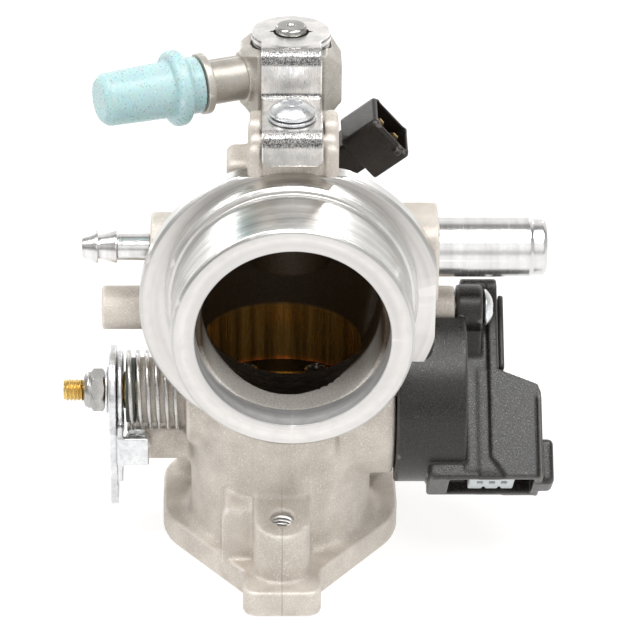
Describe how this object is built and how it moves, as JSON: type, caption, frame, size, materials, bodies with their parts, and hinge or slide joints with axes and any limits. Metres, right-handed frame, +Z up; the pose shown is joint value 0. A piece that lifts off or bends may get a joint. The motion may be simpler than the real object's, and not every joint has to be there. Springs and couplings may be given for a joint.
{
  "type": "throttle body",
  "caption": "Elbow throttle body: turned inlet spigot, brass butterfly on a sprung cross shaft, position sensor, clamped injector, capped fuel inlet, hose nipple and tube, bottom flange.",
  "frame": {"origin": "middle of the bottom of the whole object's box, in the plane of the outlet flange face", "axes": "+Z up the throttle bore, -Y out of the inlet spigot, X along the throttle shaft with the sensor at +X"},
  "size_m": [0.1052, 0.0606, 0.1146],
  "materials": {
    "cast_aluminium": "sand-blasted casting with turned faces",
    "fuel_alloy": "tumbled warm-grey casting",
    "turned_steel": "turned steel",
    "zinc_plate": "bright bluish zinc plating",
    "yellow_zinc": "yellow passivated thread on a steel shaft",
    "brass": "brass sheet and bushes",
    "black_plastic": "grained black-brown glass-filled plastic",
    "grey_plastic": "light grey terminal carrier",
    "cap_plastic": "pale blue translucent cap",
    "bush_plastic": "grey-green bush plastic",
    "seal_rubber": "black rubber"
  },
  "bodies": {
    "root": {"body_casting": "cast_aluminium", "bearing_left": "brass", "bearing_right": "brass", "shaft_seal_left": "seal_rubber", "shaft_seal_right": "seal_rubber", "spring_bush": "bush_plastic", "return_spring": "turned_steel", "idle_stop_screw": "turned_steel", "idle_stop_locknut": "zinc_plate", "vacuum_nipple": "zinc_plate", "bypass_tube": "zinc_plate", "sensor_housing": "black_plastic", "sensor_cover": "black_plastic", "sensor_terminal_block": "grey_plastic", "sensor_pin_1": "brass", "sensor_pin_2": "brass", "sensor_pin_3": "brass", "sensor_screw": "zinc_plate", "sensor_low_screw": "zinc_plate", "sensor_ear_bush": "zinc_plate", "sensor_seal": "seal_rubber", "injector_body": "turned_steel", "injector_overmould": "black_plastic", "injector_top_tube": "turned_steel", "injector_upper_oring": "seal_rubber", "injector_lower_oring": "seal_rubber", "injector_pin_1": "brass", "injector_pin_2": "brass", "fuel_inlet_housing": "fuel_alloy", "fuel_housing_plug": "turned_steel", "injector_clamp": "zinc_plate", "clamp_screw": "zinc_plate", "clamp_washer": "zinc_plate"},
    "throttle": {"throttle_shaft": "yellow_zinc", "throttle_plate": "brass", "plate_screw_left": "turned_steel", "plate_screw_right": "turned_steel", "throttle_lever": "zinc_plate", "throttle_stop_plate": "zinc_plate", "lever_washer": "zinc_plate", "lever_nut": "zinc_plate", "shaft_circlip": "turned_steel", "sensor_rotor": "black_plastic"},
    "dust_cap": {"fuel_dust_cap": "cap_plastic"}
  },
  "joints": [
    {"name": "throttle_turn", "type": "hinge", "parent": "root", "child": "throttle", "pos_m": [-0.0057, 0.0057, 0.0353], "axis": [-1, 0, 0], "range_deg": [0, 80], "stiffness_Nm_per_rad": 0.02, "springref_deg": -34.38},
    {"name": "dust_cap_pull", "type": "slide", "parent": "root", "child": "dust_cap", "axis": [-0.9252, -0.3795, 0], "range_m": [0, 0.028]}
  ]
}
